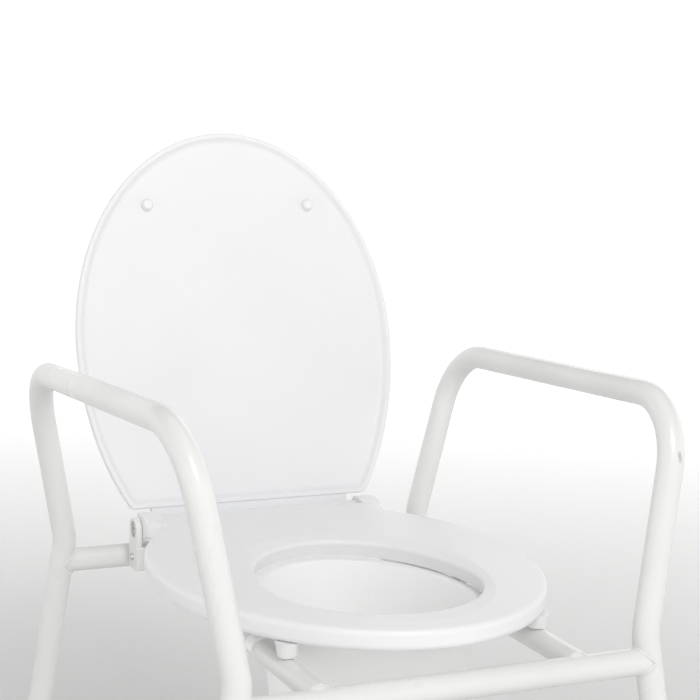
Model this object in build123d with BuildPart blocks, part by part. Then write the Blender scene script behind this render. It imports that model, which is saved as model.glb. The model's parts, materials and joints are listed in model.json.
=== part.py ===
from build123d import *
from math import cos, radians, sin
import os

os.makedirs("parts", exist_ok=True)

# ---------------------------------------------------------------- driving dimensions (mm)
# The frame stands on z = 0. x = 0 is the middle plane, -y is the user's side, +y the cistern's.
HINGE_Y = 195.8           # hinge axis of seat and lid, measured from the footprint's centre
HINGE_Z = 445.7           # hinge axis above the floor with the legs right in

TUBE_R = 12.7             # 25.4 mm frame tube
BORE_R = 11.2             # inside of the frame tube
EXTENSION_R = 11.1        # telescoping leg, a running fit in the bore
TUBE_WALL = 1.5
RAIL_R = 11.0

TOP_BEND_R = 70.0
KNEE_BEND_R = 55.0
REAR_TOP = (250.8, 15.7, 177.0)       # corner points of the right-hand tube's centre line,
FRONT_TOP = (240.5, -442.6, 199.9)    # measured from the middle of the hinge axis
REAR_KNEE = (213.1, 30.9, -12.9)
FRONT_KNEE = (200.0, -465.8, -13.0)
REAR_LEAN = (0.127, 0.090)            # a leg's shift outwards and along y per mm of drop
FRONT_LEAN = (0.127, -0.110)
CROSSBAR_Z = -37.5        # crossbar and rail centres, measured from the hinge axis
RAIL_Z = -31.0
RAIL_X = 127.0

OUTER_LEG_END = 130.0     # heights above the floor
PIN_HEIGHT = 160.0
EXTENSION_TOP = 385.0
HOLE_R = 3.3
HOLE_PITCH = 25.0
HOLE_COUNT = 7
COLLAR_R = 14.6
COLLAR_SKIRT = 14.0
COLLAR_LIP = 3.0
CLIP_IN_R = 13.0
CLIP_OUT_R = 16.0
CLIP_HALF_HEIGHT = 7.0
LOCK_PIN_R = 3.0
LOCK_PIN_REACH = 14.2     # the pin's tip, past the leg's centre line

FOOT_R = 17.0
FOOT_BASE_R = 20.5
FOOT_TALL = 46.0
SOCKET_FLOOR = 9.0        # rubber under the washer
WASHER_THICK = 1.5

BARREL_R = 12.4           # hinge barrels of seat, lid and bracket
LID_KNUCKLE = 117.5       # half-widths along the hinge axis
SEAT_KNUCKLE_IN = 118.0
SEAT_KNUCKLE_OUT = 139.5
LUG_IN = 140.0
LUG_OUT = 146.3
MOUTH_R = 9.0             # open end of the bracket's lug
MOUTH_DEEP = 3.6
HINGE_PIN_R = 5.0
HINGE_PIN_END = 84.0
PIN_CLEARANCE = 0.06
PIN_HEAD_R = 7.0
PIN_HEAD_THICK = 1.6
BRACKET_HALF_DEEP = 14.0
BRACKET_WALL = 2.4
SCREW_R = 2.0
SCREW_HEAD_R = 3.6
SCREW_HEAD_THICK = 2.2
SCREW_TIP_X = 133.0

SEAT_TOP = 14.3           # seat surface above the hinge axis
SEAT_THICK = 20.0
SEAT_EDGE_R = 5.5
SEAT_REAR = -14.5         # rear edge between the ears, y from the hinge axis
SEAT_DISH = 3.0           # drop from the seat's crest to the edge of the opening
SEAT_LIP_R = 3.5
OPENING_UNDERCUT = 7.0    # the opening widens by this much towards its underside
BUFFER_GAP = 0.3

EAR_CORNER_R = 7.0
EAR_TOP = 17.0            # the ears stand a little above the seat, over their barrels
NECK_R = 11.0

LID_FOOT = 21.0           # the lid's straight lower edge
LID_SHOULDER_R = 8.0
LID_LEAN = 15.3           # the open lid's lean behind the vertical, degrees
LID_LIP = 16.6            # the lip's plane above the hinge axis when the lid is shut
LID_THICK = 10.6
LID_RIM = 5.0
LID_COVE = 5.0
LID_DISH = 5.4
LID_BACK_R = 5.5
LID_FRONT_R = 2.0
LID_RIM_R = 2.2           # rounding of the dish, at the rim and round its floor
LID_FLOOR_R = 5.0
LID_BUFFER_X = 97.7
LID_BUFFER_S = 361.4
LID_BUFFER_R = 6.3
LID_BUFFER_DOME_R = 3.2

GUARD_TOP = -7.6
GUARD_DEPTH = 112.0
GUARD_WALL = 3.0
GUARD_FLANGE = 9.0
GUARD_FLANGE_THICK = 3.0
HOOK_WALL = 2.5
HOOK_LENGTH = 16.0
HOOK_YS = (-262.0, -334.0)
HOOK_WEB_IN = 97.0        # the web that joins a hook to the flange
HOOK_WEB_OUT = 119.0
HOOK_WEB_FOOT = -23.0

# Egg shapes: centre y, half-width, length behind the centre, length in front of it.
SEAT_PLAN = (-225.0, 190.5, 235.0, 240.0)
CREST = (-265.0, 119.0, 133.0, 175.0)
OPENING = (-298.0, 105.0, 147.0, 108.0)
GUARD_MOUTH = (-298.0, 100.0, 142.0, 103.0)
GUARD_OUTLET = (-294.0, 86.0, 118.0, 86.0)
LID_PLAN = (205.0, 190.0, 240.0, 273.0)   # along the lid, from the hinge axis

SIDES = (("right", 1), ("left", -1))
LEGS = (("front", FRONT_KNEE, FRONT_LEAN), ("rear", REAR_KNEE, REAR_LEAN))


def finish(node, name):
    node.part.label = name
    export_step(node.part, f"parts/{name}.step")


# ---------------------------------------------------------------- places and planes
def from_hinge(x, y, z):
    """A point measured from the middle of the hinge axis."""
    return Vector(x, HINGE_Y + y, HINGE_Z + z)


def level(z):
    """A level plane at a height above the hinge axis."""
    return Plane(origin=from_hinge(0, 0, z))


def upright(x):
    """A plane across the hinge axis, with local x along +Y and local y up."""
    return Plane(origin=from_hinge(x, 0, 0), x_dir=(0, 1, 0), z_dir=(1, 0, 0))


def crosswise(y):
    """A plane that faces the user, with local x along +X and local y up."""
    return Plane(origin=from_hinge(0, y, 0), x_dir=(1, 0, 0), z_dir=(0, -1, 0))


def leg_point(knee, lean, side, height):
    """The point of a leg's centre line at a height above the floor."""
    drop = HINGE_Z + knee[2] - height
    return Vector(side * (knee[0] + lean[0] * drop), HINGE_Y + knee[1] + lean[1] * drop, height)


def leg_up(lean, side):
    return Vector(-side * lean[0], -lean[1], 1).normalized()


def pin_axis(lean, side):
    """The locking pin's direction: outwards and square to the leg."""
    outwards = Vector(side, 0, 0)
    up = leg_up(lean, side)
    return (outwards - up * outwards.dot(up)).normalized()


def across_leg(knee, lean, side, height):
    """A plane square to a leg: local x along the locking pin, normal up the leg."""
    origin = leg_point(knee, lean, side, height)
    return Plane(origin=origin, x_dir=pin_axis(lean, side), z_dir=leg_up(lean, side))


def through_leg(knee, lean, side, height):
    """A plane square to the locking pin, normal outwards."""
    origin = leg_point(knee, lean, side, height)
    return Plane(origin=origin, x_dir=leg_up(lean, side), z_dir=pin_axis(lean, side))


def beside_leg(knee, lean, side):
    """A plane through a leg's foot: local x along the locking pin, local y up the leg."""
    origin = leg_point(knee, lean, side, 0)
    normal = pin_axis(lean, side).cross(leg_up(lean, side))
    return Plane(origin=origin, x_dir=pin_axis(lean, side), z_dir=normal)


def leg_length(lean, height):
    """Length along a leg of a rise in height."""
    return height * Vector(lean[0], lean[1], 1).length


# ---------------------------------------------------------------- side frames
def make_side_frame(name, side):
    """One bent tube: rear leg, arm and front leg."""
    corners = [
        leg_point(REAR_KNEE, REAR_LEAN, side, OUTER_LEG_END),
        from_hinge(side * REAR_KNEE[0], REAR_KNEE[1], REAR_KNEE[2]),
        from_hinge(side * REAR_TOP[0], REAR_TOP[1], REAR_TOP[2]),
        from_hinge(side * FRONT_TOP[0], FRONT_TOP[1], FRONT_TOP[2]),
        from_hinge(side * FRONT_KNEE[0], FRONT_KNEE[1], FRONT_KNEE[2]),
        leg_point(FRONT_KNEE, FRONT_LEAN, side, OUTER_LEG_END),
    ]
    bends = [KNEE_BEND_R, TOP_BEND_R, TOP_BEND_R, KNEE_BEND_R]
    with BuildPart() as side_frame:
        with BuildLine() as route:
            FilletPolyline(*corners, radius=bends)
        with BuildSketch(Plane(origin=route.line @ 0, z_dir=route.line % 0)):
            Circle(TUBE_R)
            Circle(BORE_R, mode=Mode.SUBTRACT)
        sweep(path=route.line)
        for _, knee, lean in LEGS:
            with Locations(through_leg(knee, lean, side, PIN_HEIGHT)):
                Cylinder(HOLE_R, 4 * TUBE_R, mode=Mode.SUBTRACT)
    finish(side_frame, f"{name}_side_frame")


# ---------------------------------------------------------------- crossbars and seat rails
def crossbar_y(knee, lean):
    return knee[1] + lean[1] * (knee[2] - CROSSBAR_Z)


def make_crossbar(name, knee, lean):
    """A tube between two legs, its ends coped to the legs it is welded to."""
    bar_y = crossbar_y(knee, lean)
    half = knee[0] + lean[0] * (knee[2] - CROSSBAR_Z)
    with BuildPart() as crossbar:
        with BuildSketch(upright(0)):
            with Locations((bar_y, CROSSBAR_Z)):
                Circle(TUBE_R)
                Circle(BORE_R, mode=Mode.SUBTRACT)
        extrude(amount=half, both=True)
        for side in (1, -1):
            with Locations(across_leg(knee, lean, side, HINGE_Z + CROSSBAR_Z)):
                Cylinder(TUBE_R, 5 * TUBE_R, mode=Mode.SUBTRACT)
    finish(crossbar, f"{name}_crossbar")


def make_rail(name, side):
    """A tube under the seat from the rear crossbar to the front one."""
    rear_y, front_y = (crossbar_y(knee, lean) for _, knee, lean in reversed(LEGS))
    with BuildPart() as rail:
        with BuildSketch(crosswise(rear_y)):
            with Locations((side * RAIL_X, RAIL_Z)):
                Circle(RAIL_R)
                Circle(RAIL_R - TUBE_WALL, mode=Mode.SUBTRACT)
        extrude(amount=rear_y - front_y)
        for bar_y in (rear_y, front_y):
            with BuildSketch(upright(side * RAIL_X)):
                with Locations((bar_y, CROSSBAR_Z)):
                    Circle(TUBE_R)
            extrude(amount=2 * RAIL_R, both=True, mode=Mode.SUBTRACT)
        with BuildSketch(upright(side * SCREW_TIP_X)):
            with Locations((0, RAIL_Z)):
                Circle(SCREW_R)
        extrude(amount=side * RAIL_R, mode=Mode.SUBTRACT)
    finish(rail, f"seat_rail_{name}")


# ---------------------------------------------------------------- hinge brackets, pins, screws
def make_bracket(name, side):
    """A moulded saddle round the rail, with a lug that carries the hinge pin."""
    saddle_in = RAIL_X - RAIL_R - BRACKET_WALL
    saddle_top = RAIL_Z + RAIL_R + BRACKET_WALL
    saddle_height = 2 * (RAIL_R + BRACKET_WALL)
    with BuildPart() as bracket:
        with BuildSketch(upright(side * saddle_in)):
            with Locations((0, RAIL_Z)):
                RectangleRounded(2 * BRACKET_HALF_DEEP, saddle_height, BRACKET_WALL)
        extrude(amount=side * (LUG_OUT - saddle_in))
        with BuildSketch(crosswise(0)):
            with Locations((side * RAIL_X, RAIL_Z)):
                Circle(RAIL_R)
        extrude(amount=2 * BRACKET_HALF_DEEP, both=True, mode=Mode.SUBTRACT)
        with BuildSketch(upright(side * LUG_IN)):
            Circle(BARREL_R)
            with Locations((0, saddle_top / 2)):
                Rectangle(2 * BARREL_R, -saddle_top)
        extrude(amount=side * (LUG_OUT - LUG_IN))
        with BuildSketch(upright(side * LUG_OUT)):
            Circle(MOUTH_R)
        extrude(amount=-side * MOUTH_DEEP, mode=Mode.SUBTRACT)
        with BuildSketch(upright(side * LUG_IN)):
            Circle(HINGE_PIN_R)
        extrude(amount=side * (LUG_OUT - LUG_IN), mode=Mode.SUBTRACT)
        with BuildSketch(upright(side * (RAIL_X + RAIL_R / 2))):
            with Locations((0, RAIL_Z)):
                Circle(SCREW_R)
        extrude(amount=side * 2 * RAIL_R, mode=Mode.SUBTRACT)
    finish(bracket, f"hinge_bracket_{name}")


def make_hinge_pin(name, side):
    """A headed pin through lug, seat ear and lid barrel."""
    head_at = LUG_OUT - MOUTH_DEEP
    with BuildPart() as pin:
        with BuildSketch(upright(side * HINGE_PIN_END)):
            Circle(HINGE_PIN_R)
        extrude(amount=side * (head_at - HINGE_PIN_END))
        chamfer(pin.edges().filter_by(GeomType.CIRCLE).sort_by(Axis.X, reverse=side < 0)[0], 1)
        with BuildSketch(upright(side * head_at)):
            Circle(PIN_HEAD_R)
        extrude(amount=side * PIN_HEAD_THICK)
        with BuildSketch(upright(side * (head_at + PIN_HEAD_THICK))):
            Rectangle(2 * HINGE_PIN_R, PIN_HEAD_THICK)
        extrude(amount=-side * PIN_HEAD_THICK / 2, mode=Mode.SUBTRACT)
    finish(pin, f"hinge_pin_{name}")


def make_bracket_screws():
    """One screw from each saddle's outer face into its rail."""
    with BuildPart() as screws:
        for _, side in SIDES:
            with BuildSketch(upright(side * SCREW_TIP_X)):
                with Locations((0, RAIL_Z)):
                    Circle(SCREW_R)
            extrude(amount=side * (LUG_OUT - SCREW_TIP_X))
            with BuildSketch(upright(side * LUG_OUT)):
                with Locations((0, RAIL_Z)):
                    Circle(SCREW_HEAD_R)
            extrude(amount=side * SCREW_HEAD_THICK, taper=12)
    finish(screws, "bracket_screws")


# ---------------------------------------------------------------- seat
def egg_face(shape, grow=0.0):
    """A face from two half-ellipses that share their widest line."""
    centre_y, half_width, behind, ahead = shape
    with BuildLine() as egg:
        EllipticalCenterArc((0, centre_y), half_width + grow, behind + grow, 0, arc_size=180)
        EllipticalCenterArc((0, centre_y), half_width + grow, ahead + grow, 180, arc_size=180)
    make_face(egg.edges())


def seat_outline_face():
    """The seat's plan: a broad oval with two ears that reach back to the hinge."""
    ear_foot = (SEAT_KNUCKLE_OUT, -28)
    neck = (123, -48)
    with BuildLine() as ears:
        Polyline(
            (0, SEAT_REAR), (SEAT_KNUCKLE_OUT, SEAT_REAR), ear_foot, neck, (0, neck[1]),
        )
        mirror(about=Plane.YZ)
    egg_face(SEAT_PLAN)
    with Locations((0, SEAT_REAR + BARREL_R * 4)):
        Rectangle(4 * SEAT_KNUCKLE_OUT, 8 * BARREL_R, mode=Mode.SUBTRACT)
    make_face(ears.edges())


def in_neck(corner):
    """True for the corners where an ear meets the oval."""
    return -60 < corner.Y < -24


def within_oval(edge):
    """True for the edges of the seat's opening."""
    return abs(edge.center().X) < OPENING[1] + 1


def make_seat():
    """The seat board, dished towards its opening, with two hinge ears."""
    ear_root = SEAT_REAR - 1.6 * SEAT_EDGE_R
    with BuildPart() as seat:
        with BuildSketch(level(SEAT_TOP)) as plan:
            seat_outline_face()
            fillet(plan.vertices().group_by(Axis.Y)[-1], EAR_CORNER_R)
            fillet(plan.vertices().filter_by(in_neck), NECK_R)
        extrude(amount=-SEAT_THICK)
        rims = seat.faces().filter_by(Plane.XY).edges()
        fillet(rims, SEAT_EDGE_R)
        with BuildSketch(level(SEAT_TOP)):
            egg_face(CREST)
        with BuildSketch(level(SEAT_TOP - SEAT_DISH)):
            egg_face(OPENING)
        loft(mode=Mode.SUBTRACT)
        with BuildSketch(level(SEAT_TOP - SEAT_DISH)):
            egg_face(OPENING)
        with BuildSketch(level(SEAT_TOP - SEAT_THICK - 1)):
            egg_face(OPENING, OPENING_UNDERCUT)
        loft(mode=Mode.SUBTRACT)
        lip = seat.edges().filter_by_position(
            Axis.Z, HINGE_Z + SEAT_TOP - SEAT_DISH - 0.1, HINGE_Z + SEAT_TOP - SEAT_DISH + 0.1
        )
        fillet(lip.filter_by(within_oval), SEAT_LIP_R)
        for _, side in SIDES:
            with BuildSketch(upright(side * SEAT_KNUCKLE_IN)):
                Circle(BARREL_R)
                with BuildLine():
                    Polyline(
                        (10, 7), (8.5, 13), (3.5, EAR_TOP), (-8, EAR_TOP), (-13, 16.2),
                        (ear_root, SEAT_TOP), (ear_root, SEAT_TOP - SEAT_THICK), (0, -BARREL_R),
                        close=True,
                    )
                make_face()
            extrude(amount=side * (SEAT_KNUCKLE_OUT - SEAT_KNUCKLE_IN))
            with BuildSketch(upright(side * SEAT_KNUCKLE_IN)):
                Circle(HINGE_PIN_R + PIN_CLEARANCE)
            extrude(amount=side * (SEAT_KNUCKLE_OUT - SEAT_KNUCKLE_IN), mode=Mode.SUBTRACT)
    finish(seat, "seat")


def make_seat_buffer(name, side, y):
    """A pad under the seat that rests on a rail."""
    foot_z = RAIL_Z + RAIL_R + BUFFER_GAP
    with BuildPart() as pad:
        with BuildSketch(level(SEAT_TOP - SEAT_THICK)):
            with Locations((side * RAIL_X, y)):
                Circle(11)
        with BuildSketch(level(foot_z)):
            with Locations((side * RAIL_X, y)):
                Circle(8.5)
        loft()
        fillet(pad.edges().group_by(Axis.Z)[0], 1.5)
    finish(pad, f"seat_buffer_{name}")


# ---------------------------------------------------------------- lid, drawn on the open lid's plane
LID_PLANE = Plane(
    origin=from_hinge(0, 0, 0),
    x_dir=(1, 0, 0),
    z_dir=(0, -cos(radians(LID_LEAN)), sin(radians(LID_LEAN))),
)


def lid_outline_face(inset=0.0):
    """The lid's plan: an oval with a straight lower edge and rounded shoulders."""
    foot_s = LID_FOOT + inset
    egg_face(LID_PLAN, -inset)
    with Locations((0, foot_s)):
        Rectangle(4 * LID_KNUCKLE, 8 * LID_FOOT, align=(Align.CENTER, Align.MAX), mode=Mode.SUBTRACT)


def bounds_dish(edge, depth):
    """True for the edges round the lid's dish at a depth below its lip."""
    middle = LID_PLANE.to_local_coords(edge.position_at(0.5))
    inset = 0.7 * LID_RIM
    centre_s, half_width, behind, ahead = LID_PLAN
    reach = ahead if middle.Y > centre_s else behind
    across = middle.X / (half_width - inset)
    along = (middle.Y - centre_s) / (reach - inset)
    in_outline = across ** 2 + along ** 2 < 1 and middle.Y > LID_FOOT + inset
    return in_outline and abs(middle.Z + LID_LIP + depth) < 0.01


def make_lid():
    """The lid: a dished oval panel on a barrel."""
    web_front = 13.0
    web_back = -LID_LIP - LID_THICK + 0.4
    web_foot = -9.0
    web_top = 26.0
    web_inside = -LID_LIP - 2.5
    across = Plane(origin=LID_PLANE.origin, x_dir=LID_PLANE.y_dir, z_dir=LID_PLANE.x_dir)
    with BuildPart() as lid:
        with BuildSketch(LID_PLANE.offset(-LID_LIP)) as plan:
            lid_outline_face()
            fillet(plan.vertices().group_by(Axis.Y)[0], LID_SHOULDER_R)
        extrude(amount=-LID_THICK)
        front_face = lid.faces().filter_by(Axis((0, 0, 0), LID_PLANE.z_dir)).sort_by(Axis.Y)[0]
        back_face = lid.faces().filter_by(Axis((0, 0, 0), LID_PLANE.z_dir)).sort_by(Axis.Y)[-1]
        fillet(back_face.edges(), LID_BACK_R)
        fillet(front_face.edges(), LID_FRONT_R)
        with BuildSketch(LID_PLANE.offset(-LID_LIP)) as dish_mouth:
            lid_outline_face(LID_RIM)
            fillet(dish_mouth.vertices().group_by(Axis.Y)[0], LID_SHOULDER_R)
        with BuildSketch(LID_PLANE.offset(-LID_LIP - LID_DISH)) as dish_floor:
            lid_outline_face(LID_RIM + LID_COVE)
            fillet(dish_floor.vertices().group_by(Axis.Y)[0], LID_SHOULDER_R)
        loft(mode=Mode.SUBTRACT)
        for depth, radius in ((0, LID_RIM_R), (LID_DISH, LID_FLOOR_R)):
            fillet(lid.edges().filter_by(lambda edge: bounds_dish(edge, depth)), radius)
        with BuildSketch(across):
            Circle(BARREL_R)
            with BuildLine():
                Polyline(
                    (web_foot, 0), (web_foot, web_back / 2), (0, web_back), (web_top, web_back),
                    (web_top, web_inside), (web_front, web_inside), (web_front, 0),
                    close=True,
                )
            make_face()
        extrude(amount=LID_KNUCKLE, both=True)
        for _, side in SIDES:
            with BuildSketch(upright(side * (HINGE_PIN_END - 1))):
                Circle(HINGE_PIN_R + PIN_CLEARANCE)
            extrude(amount=side * (LID_KNUCKLE - HINGE_PIN_END + 1), mode=Mode.SUBTRACT)
    finish(lid, "lid")


def make_lid_buffer(name, side):
    """A domed pad in the lid's dish that lands on the seat."""
    tall = LID_LIP + LID_DISH - SEAT_TOP - BUFFER_GAP
    with BuildPart() as pad:
        with BuildSketch(LID_PLANE.offset(-LID_LIP - LID_DISH)):
            with Locations((side * LID_BUFFER_X, LID_BUFFER_S)):
                Circle(LID_BUFFER_R)
        extrude(amount=tall)
        fillet(pad.edges().filter_by(GeomType.CIRCLE).sort_by(Axis.Y)[0], LID_BUFFER_DOME_R)
    finish(pad, f"lid_buffer_{name}")


# ---------------------------------------------------------------- splash guard
def make_splash_guard():
    """An open funnel under the seat, hung on the rails by four hooks."""
    web_x = (HOOK_WEB_IN + HOOK_WEB_OUT) / 2
    with BuildPart() as guard:
        with BuildSketch(level(GUARD_TOP)):
            egg_face(GUARD_MOUTH, GUARD_WALL)
        with BuildSketch(level(GUARD_TOP - GUARD_DEPTH)):
            egg_face(GUARD_OUTLET, GUARD_WALL)
        loft()
        with BuildSketch(level(GUARD_TOP)):
            egg_face(GUARD_MOUTH, GUARD_WALL + GUARD_FLANGE)
        extrude(amount=-GUARD_FLANGE_THICK)
        for _, side in SIDES:
            for hook_y in HOOK_YS:
                with BuildSketch(crosswise(hook_y)):
                    with Locations((side * RAIL_X, RAIL_Z)):
                        Circle(RAIL_R + HOOK_WALL)
                    with Locations((side * web_x, (GUARD_TOP + HOOK_WEB_FOOT) / 2)):
                        Rectangle(HOOK_WEB_OUT - HOOK_WEB_IN, GUARD_TOP - HOOK_WEB_FOOT)
                    with Locations((side * RAIL_X, RAIL_Z)):
                        Circle(RAIL_R, mode=Mode.SUBTRACT)
                    with Locations((side * RAIL_X, RAIL_Z - RAIL_R)):
                        Rectangle(4 * RAIL_R, 2 * RAIL_R, mode=Mode.SUBTRACT)
                extrude(amount=HOOK_LENGTH / 2, both=True)
        with BuildSketch(level(GUARD_TOP)):
            egg_face(GUARD_MOUTH)
        with BuildSketch(level(GUARD_TOP - GUARD_DEPTH)):
            egg_face(GUARD_OUTLET)
        loft(mode=Mode.SUBTRACT)
    finish(guard, "splash_guard")


# ---------------------------------------------------------------- telescoping legs
def make_collar(name, side, knee, lean):
    """A moulded collar on the outer leg's open end."""
    end = leg_length(lean, OUTER_LEG_END)
    plane = beside_leg(knee, lean, side)
    with BuildPart() as collar:
        with BuildSketch(plane):
            with BuildLine():
                Polyline(
                    (BORE_R, end - COLLAR_LIP), (COLLAR_R - 1, end - COLLAR_LIP),
                    (COLLAR_R, end - COLLAR_LIP + 1), (COLLAR_R, end + COLLAR_SKIRT - 1),
                    (COLLAR_R - 1, end + COLLAR_SKIRT), (TUBE_R, end + COLLAR_SKIRT),
                    (TUBE_R, end), (BORE_R, end),
                    close=True,
                )
            make_face()
        revolve(axis=Axis(plane.origin, plane.y_dir))
    finish(collar, f"leg_collar_{name}")


def make_extension(name, side, knee, lean):
    """The inner leg tube with its row of locking holes."""
    foot_end = SOCKET_FLOOR + WASHER_THICK
    plane = Plane(origin=leg_point(knee, lean, side, 0), z_dir=leg_up(lean, side)).offset(foot_end)
    first_hole = leg_length(lean, PIN_HEIGHT)
    with BuildPart() as extension:
        with BuildSketch(plane):
            Circle(EXTENSION_R)
            Circle(EXTENSION_R - TUBE_WALL, mode=Mode.SUBTRACT)
        extrude(amount=leg_length(lean, EXTENSION_TOP) - foot_end)
        for index in range(HOLE_COUNT):
            height = (first_hole + index * HOLE_PITCH) / leg_length(lean, 1)
            with Locations(through_leg(knee, lean, side, height)):
                Cylinder(HOLE_R, 4 * TUBE_R, mode=Mode.SUBTRACT)
    finish(extension, f"leg_extension_{name}")


def make_foot(name, side, knee, lean):
    """A rubber ferrule, ribbed round its base and cut flat where it meets the floor."""
    plane = beside_leg(knee, lean, side)
    with BuildPart() as foot:
        with BuildSketch(plane):
            with BuildLine():
                Polyline(
                    (0, -6), (FOOT_BASE_R, -6), (FOOT_BASE_R, 6), (FOOT_BASE_R - 1.5, 8),
                    (FOOT_R + 0.8, 9), (FOOT_R + 0.8, 11), (FOOT_R + 2, 12), (FOOT_R + 2, 14),
                    (FOOT_R + 0.4, 15), (FOOT_R + 0.4, 17), (FOOT_R + 1.4, 18), (FOOT_R + 1.4, 20),
                    (FOOT_R, 21), (FOOT_R - 1.2, FOOT_TALL - 3), (FOOT_R - 3, FOOT_TALL),
                    (EXTENSION_R, FOOT_TALL), (EXTENSION_R, SOCKET_FLOOR), (0, SOCKET_FLOOR),
                    close=True,
                )
            make_face()
        revolve(axis=Axis(plane.origin, plane.y_dir))
        split(bisect_by=Plane.XY, keep=Keep.TOP)
    finish(foot, f"foot_{name}")


def make_washer(name, side, knee, lean):
    """The steel disc that keeps the tube's edge from cutting through the ferrule."""
    floor = Plane(origin=leg_point(knee, lean, side, 0), z_dir=leg_up(lean, side)).offset(SOCKET_FLOOR)
    with BuildPart() as washer:
        with BuildSketch(floor):
            Circle(EXTENSION_R - 0.2)
        extrude(amount=WASHER_THICK)
    finish(washer, f"foot_washer_{name}")


def make_clip(name, side, knee, lean):
    """A spring clip on the outer leg: half a band, a locking pin and a finger tab."""
    tab_out = 29.0
    with BuildPart() as clip:
        with BuildSketch(across_leg(knee, lean, side, PIN_HEIGHT)):
            Circle(CLIP_OUT_R)
            Circle(CLIP_IN_R, mode=Mode.SUBTRACT)
            with Locations((-CLIP_OUT_R, 0)):
                Rectangle(2 * CLIP_OUT_R, 3 * CLIP_OUT_R, mode=Mode.SUBTRACT)
        extrude(amount=CLIP_HALF_HEIGHT, both=True)
        with BuildSketch(across_leg(knee, lean, side, PIN_HEIGHT)):
            with Locations(((CLIP_OUT_R + tab_out) / 2 - 1, 0)):
                RectangleRounded(tab_out - CLIP_OUT_R + 2, 15, 3)
        extrude(amount=2, both=True)
        with BuildSketch(through_leg(knee, lean, side, PIN_HEIGHT).offset(-LOCK_PIN_REACH)):
            Circle(LOCK_PIN_R)
        extrude(amount=LOCK_PIN_REACH + CLIP_OUT_R - 1)
    finish(clip, f"locking_clip_{name}")


# ---------------------------------------------------------------- make every piece
for side_name, side_sign in SIDES:
    make_side_frame(side_name, side_sign)
    make_rail(side_name, side_sign)
    make_bracket(side_name, side_sign)
    make_hinge_pin(side_name, side_sign)
    make_lid_buffer(side_name, side_sign)
    for end_name, buffer_y in (("front", -395), ("rear", -105)):
        make_seat_buffer(f"{end_name}_{side_name}", side_sign, buffer_y)
    for end_name, end_knee, end_lean in LEGS:
        for make_leg_piece in (make_collar, make_extension, make_foot, make_washer, make_clip):
            make_leg_piece(f"{end_name}_{side_name}", side_sign, end_knee, end_lean)

for end_name, end_knee, end_lean in LEGS:
    make_crossbar(end_name, end_knee, end_lean)

make_bracket_screws()
make_seat()
make_lid()
make_splash_guard()
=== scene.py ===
import json
import math

import bmesh
import bpy
from mathutils import Matrix, Vector


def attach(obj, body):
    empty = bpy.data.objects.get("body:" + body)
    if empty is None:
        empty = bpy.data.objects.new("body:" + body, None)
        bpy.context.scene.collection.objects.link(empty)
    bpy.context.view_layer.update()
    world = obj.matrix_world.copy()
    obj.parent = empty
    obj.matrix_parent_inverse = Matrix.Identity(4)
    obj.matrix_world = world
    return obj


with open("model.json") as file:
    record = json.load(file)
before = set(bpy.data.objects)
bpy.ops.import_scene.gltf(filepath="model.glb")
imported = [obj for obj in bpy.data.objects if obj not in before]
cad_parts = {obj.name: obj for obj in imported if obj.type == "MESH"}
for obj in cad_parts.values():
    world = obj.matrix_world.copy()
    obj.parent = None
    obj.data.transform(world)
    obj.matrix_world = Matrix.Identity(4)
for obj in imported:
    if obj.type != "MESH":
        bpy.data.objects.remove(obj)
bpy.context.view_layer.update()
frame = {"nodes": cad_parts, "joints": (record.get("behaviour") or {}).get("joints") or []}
NODES = frame["nodes"]
MM = 0.001
HINGE = Vector(next(j["pos_m"] for j in frame["joints"] if j["name"] == "lid_hinge"))
SIDES = (("right", 1), ("left", -1))
ENDS = ("front", "rear")


# ---------------------------------------------------------------- sizes of the frame
# In mm from the middle of the hinge axis, as in part.py.
TUBE_R = 12.7
RAIL_R = 11.0
RAIL_X = 127.0
RAIL_Z = -31.0
CROSSBAR_Z = -37.5
CLIP_HEIGHT = 160.0       # above the floor
# End, knee of the right leg, its lean outwards and along Y per mm down, and the way inwards.
LEGS = (
    ("front", (200.0, -465.8, -13.0), (0.127, -0.110), 1),
    ("rear", (213.1, 30.9, -12.9), (0.127, 0.090), -1),
)


# ---------------------------------------------------------------- camera
CAMERA_FROM_HINGE = Vector((-0.6753, -1.7094, 0.4631))
CAMERA_YAW = math.radians(-24.57)
CAMERA_PITCH = math.radians(-8.35)
CAMERA_ROLL = math.radians(1.60)
LENS_MM = 86.5
VIEW_REACH = 100          # metres, to the far side of the floor and beyond


def make_camera():
    """A camera at the photograph's viewing angle."""
    camera = bpy.data.objects.new("camera", bpy.data.cameras.new("camera"))
    camera.data.lens = LENS_MM
    camera.data.clip_end = VIEW_REACH
    turn = Matrix.Rotation(CAMERA_YAW, 4, "Z") @ Matrix.Rotation(math.pi / 2 + CAMERA_PITCH, 4, "X")
    camera.matrix_world = (
        Matrix.Translation(HINGE + CAMERA_FROM_HINGE) @ turn @ Matrix.Rotation(CAMERA_ROLL, 4, "Z")
    )
    bpy.context.scene.collection.objects.link(camera)
    bpy.context.scene.camera = camera


# ---------------------------------------------------------------- light and floor
# Each light's name, place, diameter, power and colour, in metres and watts.
WARM = (1.0, 0.998, 0.99)
COOL = (0.99, 0.995, 1.0)
LIGHTS = (
    ("key", (-0.1, -1.95, 2.3), 0.9, 24, WARM),
    ("top", (0.2, 0.4, 3.2), 2.4, 8, COOL),
    ("back", (1.8, 2.4, 2.0), 1.5, 4, COOL),
)
LIGHT_AIM = Vector((0, 0, 0.5))

SKY_STRENGTH = 0.38
SKY_LOW = (0.12, (0.34, 0.34, 0.33))      # the upward part of a direction, and its colour
SKY_HIGH = (0.75, (1.0, 1.0, 1.0))

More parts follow.
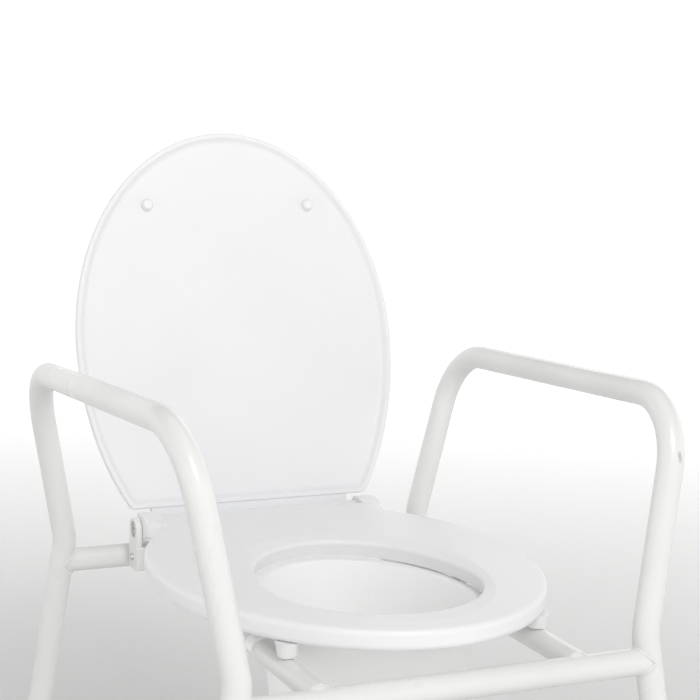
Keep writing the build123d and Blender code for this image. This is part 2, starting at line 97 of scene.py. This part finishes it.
# The floor, in metres.
FLOOR_R = 7.0
FLOOR_INNER_R = 3.5
SWEEP_R = 2.0
SWEEP_STEPS = 12
WALL_TOP = 5.0
FLOOR_STEPS = 128
MERGE_WITHIN = 0.0001
FLOOR_COLOUR = (0.79, 0.79, 0.785)
FLOOR_ROUGHNESS = 0.85
FLOOR_GLOW = 0.56
GLOW_OVER = (0.7, 3.4)    # the glow grows between these distances from the object


def add_area_light(name, place, size, power, colour):
    light = bpy.data.lights.new(name, "AREA")
    light.shape = "DISK"
    light.size = size
    light.energy = power
    light.color = colour
    lamp = bpy.data.objects.new(name, light)
    lamp.location = place
    aim = LIGHT_AIM - Vector(place)
    lamp.rotation_euler = aim.to_track_quat("-Z", "Y").to_euler()
    bpy.context.scene.collection.objects.link(lamp)


def make_sky():
    """A white studio sky, brightest overhead and dimmer low at the sides."""
    world = bpy.data.worlds.new("studio")
    world.use_nodes = True
    nodes, links = world.node_tree.nodes, world.node_tree.links
    sky = nodes["Background"]
    place = nodes.new("ShaderNodeTexCoord")
    split = nodes.new("ShaderNodeSeparateXYZ")
    ramp = nodes.new("ShaderNodeValToRGB")
    links.new(place.outputs["Generated"], split.inputs["Vector"])
    links.new(split.outputs["Z"], ramp.inputs["Fac"])
    links.new(ramp.outputs["Color"], sky.inputs["Color"])
    for stop, (position, colour) in zip(ramp.color_ramp.elements, (SKY_LOW, SKY_HIGH)):
        stop.position = position
        stop.color = (*colour, 1)
    sky.inputs["Strength"].default_value = SKY_STRENGTH
    bpy.context.scene.world = world
    bpy.context.scene.view_settings.view_transform = "Standard"


def make_floor_mesh():
    """A round floor that curves up into a low wall all the way round."""
    sweep = bmesh.new()
    rings = [(0.0, 0.0), (FLOOR_INNER_R, 0.0)]
    for step in range(SWEEP_STEPS + 1):
        turn = math.radians(90 * step / SWEEP_STEPS)
        rings.append((FLOOR_R + SWEEP_R * math.sin(turn), SWEEP_R * (1 - math.cos(turn))))
    rings.append((FLOOR_R + SWEEP_R, WALL_TOP))
    profile = [sweep.verts.new((r, 0, z)) for r, z in rings]
    edges = [sweep.edges.new(pair) for pair in zip(profile, profile[1:])]
    bmesh.ops.spin(
        sweep, geom=profile + edges, cent=(0, 0, 0), axis=(0, 0, 1), angle=2 * math.pi,
        steps=FLOOR_STEPS, use_merge=True,
    )
    bmesh.ops.remove_doubles(sweep, verts=sweep.verts[:], dist=MERGE_WITHIN)
    for face in sweep.faces:
        face.smooth = True
    mesh = bpy.data.meshes.new("floor")
    sweep.to_mesh(mesh)
    sweep.free()
    return mesh


def make_floor():
    """The pale floor, which glows more with distance so that no horizon shows."""
    mesh = make_floor_mesh()
    floor = bpy.data.objects.new("floor", mesh)
    bpy.context.scene.collection.objects.link(floor)
    material, shader, nodes, links = new_material("floor", FLOOR_COLOUR, FLOOR_ROUGHNESS)
    shader.inputs["Emission Color"].default_value = (1, 1, 1, 1)
    place = nodes.new("ShaderNodeTexCoord")
    distance = nodes.new("ShaderNodeVectorMath")
    distance.operation = "LENGTH"
    links.new(place.outputs["Object"], distance.inputs[0])
    glow = spread(nodes, links, distance.outputs["Value"], GLOW_OVER, (0.0, FLOOR_GLOW))
    links.new(glow, shader.inputs["Emission Strength"])
    grain = noise(nodes, links, scale=35, detail=4)
    link_bump(nodes, links, shader, grain, strength=0.02, distance=0.001)
    mesh.materials.append(material)


def make_stage():
    """The sky, the floor and three soft lights."""
    make_sky()
    make_floor()
    for light in LIGHTS:
        add_area_light(*light)


# ---------------------------------------------------------------- parts of a material
PATCHY = (0.35, 0.7)      # the part of a noise's range over which one colour turns into another
UNEVEN = (0.3, 0.7)       # the part of a noise's range over which the roughness changes


def new_material(name, colour, roughness, metallic=0.0):
    material = bpy.data.materials.new(name)
    material.use_nodes = True
    nodes = material.node_tree.nodes
    shader = nodes["Principled BSDF"]
    shader.inputs["Base Color"].default_value = (*colour, 1)
    shader.inputs["Roughness"].default_value = roughness
    shader.inputs["Metallic"].default_value = metallic
    return material, shader, nodes, material.node_tree.links


def object_place(nodes, links, stretch=(1, 1, 1)):
    """Object coordinates in metres, stretched along the axes."""
    place = nodes.new("ShaderNodeTexCoord")
    mapping = nodes.new("ShaderNodeMapping")
    mapping.inputs["Scale"].default_value = stretch
    links.new(place.outputs["Object"], mapping.inputs["Vector"])
    return mapping.outputs["Vector"]


def noise(nodes, links, scale, detail, stretch=(1, 1, 1)):
    texture = nodes.new("ShaderNodeTexNoise")
    texture.inputs["Scale"].default_value = scale
    texture.inputs["Detail"].default_value = detail
    links.new(object_place(nodes, links, stretch), texture.inputs["Vector"])
    return texture.outputs["Fac"]


def spread(nodes, links, value, over, between=(0.0, 1.0)):
    """Stretches a value from one range to another, clamped."""
    ramp = nodes.new("ShaderNodeMapRange")
    ramp.inputs["From Min"].default_value, ramp.inputs["From Max"].default_value = over
    ramp.inputs["To Min"].default_value, ramp.inputs["To Max"].default_value = between
    links.new(value, ramp.inputs["Value"])
    return ramp.outputs["Result"]


def tint(nodes, links, shader, mask, colour, shade):
    """Turns the base colour from one into the other where the mask is high."""
    mix = nodes.new("ShaderNodeMix")
    mix.data_type = "RGBA"
    mix.inputs["A"].default_value = (*colour, 1)
    mix.inputs["B"].default_value = (*shade, 1)
    links.new(mask, mix.inputs["Factor"])
    links.new(mix.outputs["Result"], shader.inputs["Base Color"])


def vary_roughness(nodes, links, shader, value, over, between):
    """Makes the roughness follow a value."""
    links.new(spread(nodes, links, value, over, between), shader.inputs["Roughness"])


def link_bump(nodes, links, shader, height, strength, distance, below=None):
    """Adds a bump of a depth in metres, on top of another bump where there is one."""
    bump = nodes.new("ShaderNodeBump")
    bump.inputs["Strength"].default_value = strength
    bump.inputs["Distance"].default_value = distance
    links.new(height, bump.inputs["Height"])
    if below is not None:
        links.new(below.outputs["Normal"], bump.inputs["Normal"])
    links.new(bump.outputs["Normal"], shader.inputs["Normal"])
    return bump


# ---------------------------------------------------------------- materials
# Each pair is a finish's colour and the shade that it drifts to in patches.
TUBE_COLOURS = ((0.8, 0.8, 0.788), (0.762, 0.76, 0.742))
SEAT_COLOURS = ((0.865, 0.865, 0.872), (0.845, 0.845, 0.852))
LID_COLOURS = ((0.84, 0.842, 0.855), (0.82, 0.822, 0.835))
GUARD_COLOURS = ((0.97, 0.97, 0.97), (0.955, 0.955, 0.955))
MOULDING_COLOURS = ((0.84, 0.84, 0.835), (0.8, 0.8, 0.79))
BUFFER_COLOURS = ((0.86, 0.86, 0.86), (0.82, 0.82, 0.82))
CLIP_COLOURS = ((0.5, 0.505, 0.52), (0.44, 0.445, 0.46))
ZINC_COLOURS = ((0.66, 0.66, 0.63), (0.5, 0.5, 0.5))
ALUMINIUM_COLOURS = ((0.78, 0.785, 0.79), (0.66, 0.665, 0.67))
RUBBER_COLOURS = ((0.235, 0.235, 0.24), (0.42, 0.415, 0.4))       # rubber, dust

# Set on the shader's own socket, which a tint is then linked to.
ZINC_BASE = (0.62, 0.62, 0.6)
ALUMINIUM_BASE = (0.74, 0.745, 0.75)
RUBBER_BASE = (0.24, 0.24, 0.245)

SEAT_ROUGHNESS = 0.42
LID_ROUGHNESS = 0.4
GUARD_ROUGHNESS = 0.4
BUFFER_ROUGHNESS = 0.38
BUFFER_GRAIN = 900
CLIP_ROUGHNESS = 0.4
PAINT_ROUGHNESS = 0.3
METAL_ROUGHNESS = 0.34
RUBBER_ROUGHNESS = 0.78

PLASTIC_IOR = 1.49
SCATTER_RADIUS = (0.004, 0.004, 0.004)    # metres, of light inside the white plastic
DUST_TOP = 0.02                           # metres above the floor
PINHOLES_PER_METRE = 160
PINHOLE_EDGE = (0.0, 0.045)               # from a pinhole's middle to its rim, in cells

SCUFF_PLACE = (0.2322, -0.2643, 0.598)    # metres, just below the right arm's front bend
SCUFF_SIZE = (0.0028, 0.0028, 0.0085)
SCUFF_RAGGEDNESS = 3.0
SCUFF_EDGE = (1.55, 1.15)                 # from clean paint to rubbed, in sizes of the scuff
SCUFF_WEIGHT = 0.55
SCUFF_COLOUR = (0.32, 0.3, 0.27)


def smooth_plastic(name, colour, shade, roughness):
    """Moulded white plastic: faint flow marks, tiny orange peel and wiped patches."""
    material, shader, nodes, links = new_material(name, colour, roughness)
    shader.inputs["IOR"].default_value = PLASTIC_IOR
    shader.inputs["Coat Weight"].default_value = 0.05
    shader.inputs["Coat Roughness"].default_value = 0.3
    shader.inputs["Subsurface Weight"].default_value = 0.06
    shader.inputs["Subsurface Radius"].default_value = SCATTER_RADIUS
    flow = noise(nodes, links, scale=7, detail=3, stretch=(1, 0.6, 1))
    tint(nodes, links, shader, spread(nodes, links, flow, PATCHY), colour, shade)
    wiped = noise(nodes, links, scale=6, detail=3, stretch=(1, 0.35, 1))
    vary_roughness(nodes, links, shader, wiped, (0.3, 0.8), (roughness - 0.02, roughness + 0.05))
    peel = noise(nodes, links, scale=1100, detail=2)
    link_bump(nodes, links, shader, peel, strength=0.03, distance=0.0002)
    return material


def powder_coat(name, colour, shade):
    """Baked powder paint: orange peel, a few pinholes and slightly dulled patches."""
    material, shader, nodes, links = new_material(name, colour, PAINT_ROUGHNESS)
    shader.inputs["Coat Weight"].default_value = 0.3
    shader.inputs["Coat Roughness"].default_value = 0.15
    dull = noise(nodes, links, scale=9, detail=4, stretch=(1, 1, 0.5))
    tint(nodes, links, shader, spread(nodes, links, dull, (0.4, 0.72)), colour, shade)
    vary_roughness(nodes, links, shader, dull, (0.3, 0.75), (0.24, 0.42))
    orange_peel = noise(nodes, links, scale=420, detail=2)
    peel = link_bump(nodes, links, shader, orange_peel, strength=0.16, distance=0.0006)
    cells = nodes.new("ShaderNodeTexVoronoi")
    cells.inputs["Scale"].default_value = PINHOLES_PER_METRE
    links.new(object_place(nodes, links), cells.inputs["Vector"])
    pinholes = spread(nodes, links, cells.outputs["Distance"], PINHOLE_EDGE)
    link_bump(nodes, links, shader, pinholes, strength=0.1, distance=0.0004, below=peel)
    return material


def satin_moulding(name, colour, shade, roughness=0.42, grain=650):
    """Spark-eroded nylon or soft plastic with a fine even grain."""
    material, shader, nodes, links = new_material(name, colour, roughness)
    flow = noise(nodes, links, scale=30, detail=3)
    tint(nodes, links, shader, spread(nodes, links, flow, PATCHY), colour, shade)
    vary_roughness(nodes, links, shader, flow, UNEVEN, (roughness - 0.06, roughness + 0.08))
    pits = noise(nodes, links, scale=grain, detail=3)
    link_bump(nodes, links, shader, pits, strength=0.25, distance=0.0004)
    return material


def zinc_steel():
    """Zinc-plated steel with a fine spangle and faint streaks along X."""
    material, shader, nodes, links = new_material("zinc_steel", ZINC_BASE, METAL_ROUGHNESS, 1.0)
    spangle = noise(nodes, links, scale=260, detail=3)
    tint(nodes, links, shader, spread(nodes, links, spangle, PATCHY), *ZINC_COLOURS)
    vary_roughness(nodes, links, shader, spangle, UNEVEN, (0.26, 0.46))
    streaks = noise(nodes, links, scale=1400, detail=2, stretch=(0.2, 1, 1))
    link_bump(nodes, links, shader, streaks, strength=0.15, distance=0.0002)
    return material


def anodised_tube():
    """Satin anodised aluminium with draw lines down the tube."""
    material, shader, nodes, links = new_material(
        "anodised_tube", ALUMINIUM_BASE, METAL_ROUGHNESS, 1.0
    )
    lines = noise(nodes, links, scale=900, detail=3, stretch=(1, 1, 0.02))
    tint(nodes, links, shader, spread(nodes, links, lines, PATCHY), *ALUMINIUM_COLOURS)
    vary_roughness(nodes, links, shader, lines, UNEVEN, (0.28, 0.44))
    link_bump(nodes, links, shader, lines, strength=0.12, distance=0.0002)
    return material


def foot_rubber():
    """Grey ferrule rubber with a dusty bloom near the floor."""
    material, shader, nodes, links = new_material("foot_rubber", RUBBER_BASE, RUBBER_ROUGHNESS)
    place = nodes.new("ShaderNodeTexCoord")
    split = nodes.new("ShaderNodeSeparateXYZ")
    links.new(place.outputs["Object"], split.inputs["Vector"])
    low = spread(nodes, links, split.outputs["Z"], (DUST_TOP, 0.0))
    dust = nodes.new("ShaderNodeMath")
    dust.operation = "MULTIPLY"
    links.new(low, dust.inputs[0])
    links.new(noise(nodes, links, scale=120, detail=5), dust.inputs[1])
    tint(nodes, links, shader, dust.outputs["Value"], *RUBBER_COLOURS)
    grain = noise(nodes, links, scale=500, detail=3)
    link_bump(nodes, links, shader, grain, strength=0.35, distance=0.0005)
    return material


def add_scuff(material):
    """A small rubbed mark on the paint, just below the front bend."""
    nodes, links = material.node_tree.nodes, material.node_tree.links
    shader = nodes["Principled BSDF"]
    place = nodes.new("ShaderNodeTexCoord")
    shift = nodes.new("ShaderNodeMapping")
    shift.vector_type = "TEXTURE"
    shift.inputs["Location"].default_value = SCUFF_PLACE
    shift.inputs["Scale"].default_value = SCUFF_SIZE
    links.new(place.outputs["Object"], shift.inputs["Vector"])
    ragged = nodes.new("ShaderNodeTexNoise")
    ragged.inputs["Scale"].default_value = SCUFF_RAGGEDNESS
    links.new(shift.outputs["Vector"], ragged.inputs["Vector"])
    reach = nodes.new("ShaderNodeVectorMath")
    reach.operation = "LENGTH"
    links.new(shift.outputs["Vector"], reach.inputs[0])
    edge = nodes.new("ShaderNodeMath")
    edge.operation = "ADD"
    links.new(reach.outputs["Value"], edge.inputs[0])
    links.new(ragged.outputs["Fac"], edge.inputs[1])
    mask = spread(nodes, links, edge.outputs["Value"], SCUFF_EDGE, (0.0, SCUFF_WEIGHT))
    paint = shader.inputs["Base Color"].links[0].from_socket
    rubbed = nodes.new("ShaderNodeMix")
    rubbed.data_type = "RGBA"
    links.new(mask, rubbed.inputs["Factor"])
    links.new(paint, rubbed.inputs["A"])
    rubbed.inputs["B"].default_value = (*SCUFF_COLOUR, 1)
    links.new(rubbed.outputs["Result"], shader.inputs["Base Color"])


def dress(material, *nodes):
    """Gives CAD nodes a material in place of the one that they came with."""
    for node in nodes:
        mesh = NODES[node].data
        mesh.materials.clear()
        mesh.materials.append(material)


def dress_cad_nodes():
    """Gives every CAD node its finish, and returns those that the added pieces share."""
    tube = powder_coat("powder_coat", *TUBE_COLOURS)
    dress(
        tube, "left_side_frame", "front_crossbar", "rear_crossbar", "seat_rail_right",
        "seat_rail_left",
    )
    scuffed = powder_coat("scuffed_powder_coat", *TUBE_COLOURS)
    add_scuff(scuffed)
    dress(scuffed, "right_side_frame")
    seat = smooth_plastic("seat_plastic", *SEAT_COLOURS, SEAT_ROUGHNESS)
    dress(seat, "seat")
    dress(smooth_plastic("lid_plastic", *LID_COLOURS, LID_ROUGHNESS), "lid")
    guard = smooth_plastic("guard_plastic", *GUARD_COLOURS, GUARD_ROUGHNESS)
    dress(guard, "splash_guard")
    moulding = satin_moulding("white_nylon", *MOULDING_COLOURS)
    buffer = satin_moulding("buffer_plastic", *BUFFER_COLOURS, BUFFER_ROUGHNESS, BUFFER_GRAIN)
    clip = satin_moulding("grey_nylon", *CLIP_COLOURS, CLIP_ROUGHNESS)
    zinc, anodised, rubber = zinc_steel(), anodised_tube(), foot_rubber()
    dress(zinc, "bracket_screws")
    for side, _ in SIDES:
        dress(moulding, f"hinge_bracket_{side}")
        dress(zinc, f"hinge_pin_{side}")
        dress(buffer, f"lid_buffer_{side}")
        for end in ENDS:
            leg = f"{end}_{side}"
            dress(moulding, f"leg_collar_{leg}")
            dress(buffer, f"seat_buffer_{leg}")
            dress(clip, f"locking_clip_{leg}")
            dress(anodised, f"leg_extension_{leg}")
            dress(rubber, f"foot_{leg}")
            dress(zinc, f"foot_washer_{leg}")
    return {"tube": tube, "seat": seat, "guard": guard, "moulding": moulding, "clip": clip}


# ---------------------------------------------------------------- added pieces
# In mm from the middle of the hinge axis, like the frame's sizes.
BEAD_R = 1.9
BEAD_SIDES = 8
BEAD_TAPER = 6            # points over which an open bead's end tapers
RIPPLE = 0.16             # the share of a weld bead's radius that its ripples take
RIPPLE_STEPS = 4          # points to a ripple
LEG_WELD_STEPS = 112
RAIL_WELD_STEPS = 64

PLUG_PROFILE = ((9.3, -0.6), (9.3, 0.4), (9.4, 1.4), (9.4, 6.0))   # radius, depth in the rail
PLUG_SIDES = 20
PLUG_FROM = math.radians(38)
PLUG_FLOOR = 5.6          # the plug's flat underside, above the rail's axis

GRIP_REACH = (21.0, 24.0, 27.0)           # from the leg's axis
GRIP_RISE = 2.1           # from the middle of the tab's thickness
GRIP_HALF = 5.5           # half the length of a ridge
GRIP_HALF_STEPS = 6
GRIP_R = 0.7

GUARD_SEAM = ((54.0, -178.5, -7.8), (46.4, -194.7, -119.4))   # on the inner wall, top and foot
SEAM_STEPS = 24
SEAM_R = 0.45

RIDGE_PLAN = (-225.0, 174.0, 224.0)       # centre y, half-width, length in front of the centre
RIDGE_BACK = math.radians(25)
RIDGE_STEPS = 96
RIDGE_Z = -5.7
RIDGE_R = 1.8


def from_hinge(x, y, z):
    """A place in metres, from mm from the middle of the hinge axis."""
    return HINGE + MM * Vector((x, y, z))


def leg_direction(lean, side):
    """The way down a leg."""
    return Vector((side * lean[0], lean[1], -1)).normalized()


def crossbar_y(knee, lean):
    """Where a crossbar's axis runs, at its height on the legs."""
    return knee[1] + lean[1] * (knee[2] - CROSSBAR_Z)


def add_piece(name, shape, material, body):
    """Turns a bmesh into a smooth-shaded piece that rides on a body."""
    bmesh.ops.recalc_face_normals(shape, faces=shape.faces[:])
    for face in shape.faces:
        face.smooth = True
    mesh = bpy.data.meshes.new(name)
    shape.to_mesh(mesh)
    shape.free()
    mesh.materials.append(material)
    piece = bpy.data.objects.new(name, mesh)
    bpy.context.scene.collection.objects.link(piece)
    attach(piece, body)


def join_rings(shape, rings, closed):
    """Skins a row of rings, and caps the ends where the row is open."""
    for ring, following in zip(rings, rings[1:] + rings[:1] if closed else rings[1:]):
        for k in range(len(ring)):
            turn = (k + 1) % len(ring)
            shape.faces.new((ring[k], ring[turn], following[turn], following[k]))
    if not closed:
        shape.faces.new(rings[0])
        shape.faces.new(reversed(rings[-1]))


def add_bead(shape, path, radius, closed, ripple=0):
    """A round bead along a path, rippled as a weld is, and tapered to its ends where it is open."""
    count = len(path)
    centre = sum(path, Vector()) / count
    rings = []
    for index, point in enumerate(path):
        ahead = path[(index + 1) % count] if closed or index < count - 1 else point
        behind = path[index - 1] if closed or index > 0 else point
        along = (ahead - behind).normalized()
        side = along.cross(point - centre)
        side = (side if side.length > 0.1 * MM else along.orthogonal()).normalized()
        out = along.cross(side).normalized()
        wave = abs(math.sin(math.pi * index / RIPPLE_STEPS))
        size = radius * (1 - ripple + ripple * wave)
        if not closed:
            from_end = 0.5 + min(index, count - 1 - index)
            size *= math.sin(math.pi * min(1, from_end / BEAD_TAPER) / 2)
        rings.append([
            shape.verts.new(point + size * (math.cos(a) * side + math.sin(a) * out))
            for a in (math.tau * k / BEAD_SIDES for k in range(BEAD_SIDES))
        ])
    join_rings(shape, rings, closed)


def leg_weld_path(knee, lean, side):
    """Where the crossbar's surface meets the leg's, walked round the crossbar."""
    down = leg_direction(lean, side)
    bar_y = crossbar_y(knee, lean)
    path = []
    for index in range(LEG_WELD_STEPS):
        turn = math.tau * index / LEG_WELD_STEPS
        y = bar_y + TUBE_R * math.cos(turn)
        z = CROSSBAR_Z + TUBE_R * math.sin(turn)
        off_y, off_z = y - knee[1], z - knee[2]
        part = off_y * down.y + off_z * down.z
        a = 1 - down.x ** 2
        b = -2 * down.x * part
        c = off_y ** 2 + off_z ** 2 - part ** 2 - TUBE_R ** 2
        reach = (-b - side * math.sqrt(max(b * b - 4 * a * c, 0))) / (2 * a)
        path.append(from_hinge(side * knee[0] + reach, y, z))
    return path


def rail_weld_path(knee, lean, side, inward):
    """Where a rail's end meets the crossbar, round the rail's underside."""
    bar_y = crossbar_y(knee, lean)
    rise = RAIL_Z - CROSSBAR_Z
    edge = math.asin((TUBE_R - rise) / RAIL_R)
    path = []
    for index in range(RAIL_WELD_STEPS + 1):
        turn = math.pi - edge + (math.pi + 2 * edge) * index / RAIL_WELD_STEPS
        z = rise + RAIL_R * math.sin(turn)
        y = bar_y + inward * math.sqrt(max(TUBE_R ** 2 - z ** 2, 0))
        path.append(from_hinge(side * RAIL_X + RAIL_R * math.cos(turn), y, CROSSBAR_Z + z))
    return path


def make_welds(material):
    """Weld beads where the crossbars meet the legs and the rails meet the crossbars."""
    for end, knee, lean, inward in LEGS:
        for name, side in SIDES:
            shape = bmesh.new()
            path = leg_weld_path(knee, lean, side)
            add_bead(shape, path, MM * BEAD_R, closed=True, ripple=RIPPLE)
            add_piece(f"weld_crossbar_{end}_{name}", shape, material, "frame")
            shape = bmesh.new()
            path = rail_weld_path(knee, lean, side, inward)
            add_bead(shape, path, MM * BEAD_R, closed=False, ripple=RIPPLE)
            add_piece(f"weld_rail_{end}_{name}", shape, material, "frame")


def make_rail_plugs(material):
    """Plugs in the open crescents of the rail ends above the crossbars."""
    turns = [
        PLUG_FROM + (math.pi - 2 * PLUG_FROM) * k / PLUG_SIDES for k in range(PLUG_SIDES + 1)
    ]
    for end, knee, lean, inward in LEGS:
        bar_y = crossbar_y(knee, lean)
        for name, side in SIDES:
            shape = bmesh.new()
            rings = []
            for size, depth in PLUG_PROFILE:
                ring = []
                for turn in turns:
                    x = side * RAIL_X + size * math.cos(turn)
                    z = RAIL_Z + max(size * math.sin(turn), PLUG_FLOOR)
                    ring.append(shape.verts.new(from_hinge(x, bar_y + inward * depth, z)))
                rings.append(ring)
            join_rings(shape, rings, closed=False)
            add_piece(f"rail_plug_{end}_{name}", shape, material, "frame")


def make_clip_grips(material):
    """Three raised finger ridges on each face of each locking clip's tab."""
    for end, knee, lean, _ in LEGS:
        for name, side in SIDES:
            down = leg_direction(lean, side)
            drop = MM * (HINGE.z / MM - CLIP_HEIGHT + knee[2]) / -down.z
            middle = from_hinge(side * knee[0], knee[1], knee[2]) + drop * down
            out = (Vector((side, 0, 0)) - down * side * down.x).normalized()
            across = out.cross(down).normalized()
            shape = bmesh.new()
            for face in (1, -1):
                for reach in GRIP_REACH:
                    centre = middle + MM * (out * reach + down * face * GRIP_RISE)
                    path = [
                        centre + MM * GRIP_HALF * across * k / GRIP_HALF_STEPS
                        for k in range(-GRIP_HALF_STEPS, GRIP_HALF_STEPS + 1)
                    ]
                    add_bead(shape, path, MM * GRIP_R, closed=False)
            add_piece(f"clip_grip_{end}_{name}", shape, material, f"clip_{end}_{name}")


def make_guard_seams(material):
    """The faint mould lines down the inner wall of the splash guard."""
    for name, side in SIDES:
        shape = bmesh.new()
        top, foot = (from_hinge(side * x, y, z) for x, y, z in GUARD_SEAM)
        path = [top.lerp(foot, step / SEAM_STEPS) for step in range(SEAM_STEPS + 1)]
        add_bead(shape, path, MM * SEAM_R, closed=False)
        add_piece(f"guard_seam_{name}", shape, material, "frame")


def make_seat_ridge(material):
    """A moulded ridge under the seat that follows its edge."""
    centre_y, half_width, ahead = RIDGE_PLAN
    path = []
    for step in range(RIDGE_STEPS + 1):
        turn = -RIDGE_BACK + (math.pi + 2 * RIDGE_BACK) * step / RIDGE_STEPS
        across, along = half_width * math.cos(turn), ahead * math.sin(turn)
        path.append(from_hinge(across, centre_y - along, RIDGE_Z))
    shape = bmesh.new()
    add_bead(shape, path, MM * RIDGE_R, closed=False)
    add_piece("seat_underside_ridge", shape, material, "seat")


# ---------------------------------------------------------------- the scene
make_camera()
make_stage()
finishes = dress_cad_nodes()
make_guard_seams(finishes["guard"])
make_seat_ridge(finishes["seat"])
make_welds(finishes["tube"])
make_rail_plugs(finishes["moulding"])
make_clip_grips(finishes["clip"])
